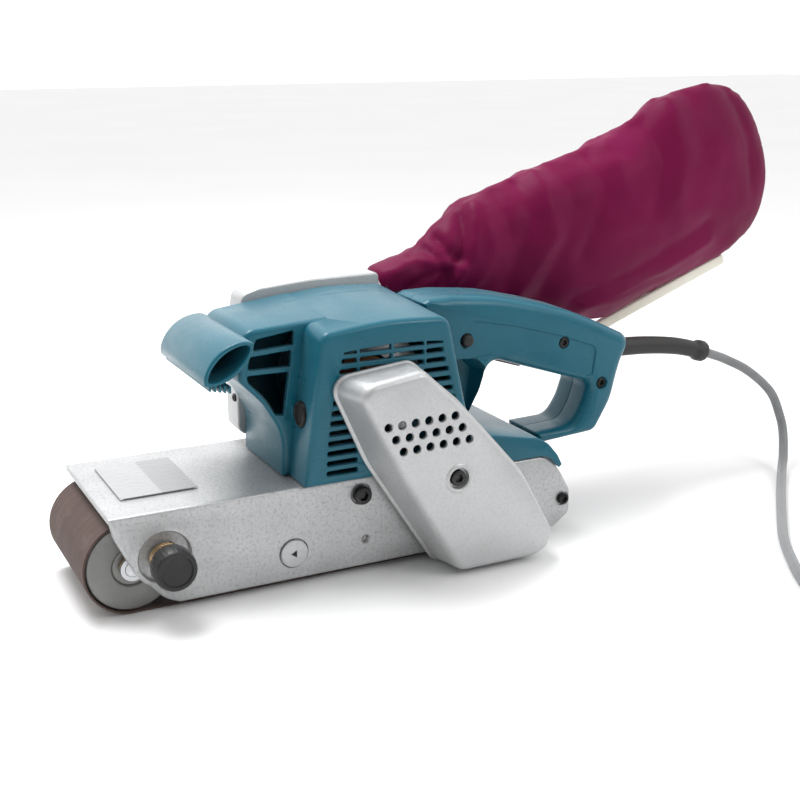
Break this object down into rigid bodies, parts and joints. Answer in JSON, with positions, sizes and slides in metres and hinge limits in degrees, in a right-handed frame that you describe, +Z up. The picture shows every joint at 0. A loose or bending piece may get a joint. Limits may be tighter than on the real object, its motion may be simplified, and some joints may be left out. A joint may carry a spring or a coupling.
{
  "type": "handheld belt sander",
  "caption": "Handheld belt sander: cast base with a sanding belt on sprung rollers, side belt-drive cover, looped rear handle, T front grip, cloth dust bag and mains cord.",
  "frame": {"origin": "middle of the sanding belt's flat underside, half way between the two roller axles and on the belt's centre line", "axes": "-X to the front roller, +X to the handle and cord, -Y to the drive cover (the user's left), +Y to the dust duct, +Z up from the work"},
  "size_m": [0.496, 0.3265, 0.2497],
  "materials": {
    "teal_plastic": "satin",
    "cast_aluminium": "satin",
    "steel": "satin",
    "dark_screw": "satin",
    "black_plastic": "satin",
    "black_rubber": "matte",
    "graphite": "matte",
    "abrasive_cloth": "matte",
    "roller_alloy": "satin",
    "bronze": "satin",
    "copper_winding": "satin",
    "bag_cloth": "matte",
    "cream_plastic": "satin",
    "grey_cord": "satin"
  },
  "bodies": {
    "root": {"motor_housing": "teal_plastic", "front_grip": "teal_plastic", "rear_guard": "teal_plastic", "handle_left": "teal_plastic", "handle_right": "teal_plastic", "base_frame": "cast_aluminium", "drive_cover": "cast_aluminium", "dust_duct": "cast_aluminium", "name_plate": "cast_aluminium", "arrow_plug": "cast_aluminium", "platen_plate": "steel", "drive_bearing": "steel", "lever_pin": "steel", "motor_bearing_near": "steel", "motor_bearing_far": "steel", "stator": "steel", "layshaft_bearing": "steel", "housing_screw": "dark_screw", "frame_screw": "dark_screw", "duct_screw": "dark_screw", "cover_screw": "dark_screw", "handle_screw_a": "dark_screw", "handle_screw_b": "dark_screw", "brush_cap_front": "black_plastic", "brush_cap_rear": "black_plastic", "switch_block": "black_plastic", "mains_plug": "black_plastic", "cord_tie": "black_plastic", "cord_guard": "black_rubber", "timing_belt": "black_rubber", "platen_pad": "graphite", "carbon_brush_front": "graphite", "carbon_brush_rear": "graphite", "abrasive_belt": "abrasive_cloth", "tracking_spring": "bronze", "cord": "grey_cord", "cord_coil": "grey_cord"},
    "rotor": {"armature": "copper_winding", "motor_pulley": "steel", "dust_fan": "cast_aluminium"},
    "layshaft_body": {"layshaft": "steel", "large_pulley": "steel", "pinion": "steel"},
    "rear_roller": {"drive_roller": "black_rubber", "drive_axle": "steel", "roller_gear": "steel"},
    "carriage": {"tension_slide": "steel", "tension_spring": "steel"},
    "yoke": {"idler_yoke": "steel", "idler_axle": "steel"},
    "front_roller": {"idler_roller": "roller_alloy", "idler_bush": "bronze"},
    "lever": {"release_lever": "black_plastic"},
    "knob": {"tracking_knob": "black_plastic", "tracking_screw": "steel"},
    "switch_trigger": {"trigger": "black_plastic"},
    "lock": {"lock_button": "black_plastic"},
    "bag": {"dust_bag": "bag_cloth", "bag_collar": "black_plastic"},
    "fastener": {"bag_fastener": "cream_plastic"}
  },
  "joints": [
    {"name": "motor_spin", "type": "hinge", "parent": "root", "child": "rotor", "pos_m": [0.024, 0, 0.096], "axis": [0, 1, 0], "continuous": true},
    {"name": "layshaft_spin", "type": "hinge", "parent": "root", "child": "layshaft_body", "pos_m": [0.078, 0, 0.02925], "axis": [0, 1, 0], "continuous": true},
    {"name": "drive_roller_spin", "type": "hinge", "parent": "root", "child": "rear_roller", "pos_m": [0.11402, 0, 0.025], "axis": [0, 1, 0], "continuous": true},
    {"name": "lever_swing", "type": "hinge", "parent": "root", "child": "lever", "pos_m": [-0.044, 0.03, 0.025], "axis": [0, 0, 1], "range_deg": [0, 90]},
    {"name": "carriage_slide", "type": "slide", "parent": "root", "child": "carriage", "axis": [1, 0, 0], "range_m": [0, 0.008], "deforming": ["tension_spring"]},
    {"name": "yoke_steer", "type": "hinge", "parent": "carriage", "child": "yoke", "pos_m": [-0.085, 0, 0.025], "axis": [0, 0, 1], "range_deg": [-0.6, 0.6]},
    {"name": "idler_roller_spin", "type": "hinge", "parent": "yoke", "child": "front_roller", "pos_m": [-0.11402, 0, 0.025], "axis": [0, 1, 0], "continuous": true},
    {"name": "knob_turn", "type": "hinge", "parent": "root", "child": "knob", "pos_m": [-0.099, 0, 0.0305], "axis": [0, 1, 0], "range_deg": [-180, 180]},
    {"name": "trigger_press", "type": "slide", "parent": "root", "child": "switch_trigger", "axis": [0.3123, 0, 0.95], "range_m": [0, 0.004], "stiffness_N_per_m": 900, "springref_m": -0.003},
    {"name": "lock_press", "type": "slide", "parent": "root", "child": "lock", "axis": [0, 1, 0], "range_m": [0, 0.003], "stiffness_N_per_m": 500, "springref_m": -0.002},
    {"name": "bag_pull_off", "type": "slide", "parent": "root", "child": "bag", "axis": [1, 0, 0], "range_m": [0, 0.05]},
    {"name": "fastener_slide", "type": "slide", "parent": "bag", "child": "fastener", "axis": [0.9376, 0, 0.3476], "range_m": [0, 0.11]}
  ],
  "couplings": [
    {"joint": "layshaft_spin", "follows": "motor_spin", "ratio": 0.5},
    {"joint": "drive_roller_spin", "follows": "motor_spin", "ratio": -0.30556},
    {"joint": "idler_roller_spin", "follows": "motor_spin", "ratio": -0.30556},
    {"joint": "lever_swing", "follows": "carriage_slide", "rad_per_m": 196.3},
    {"joint": "yoke_steer", "follows": "knob_turn", "ratio": 0.003333}
  ]
}
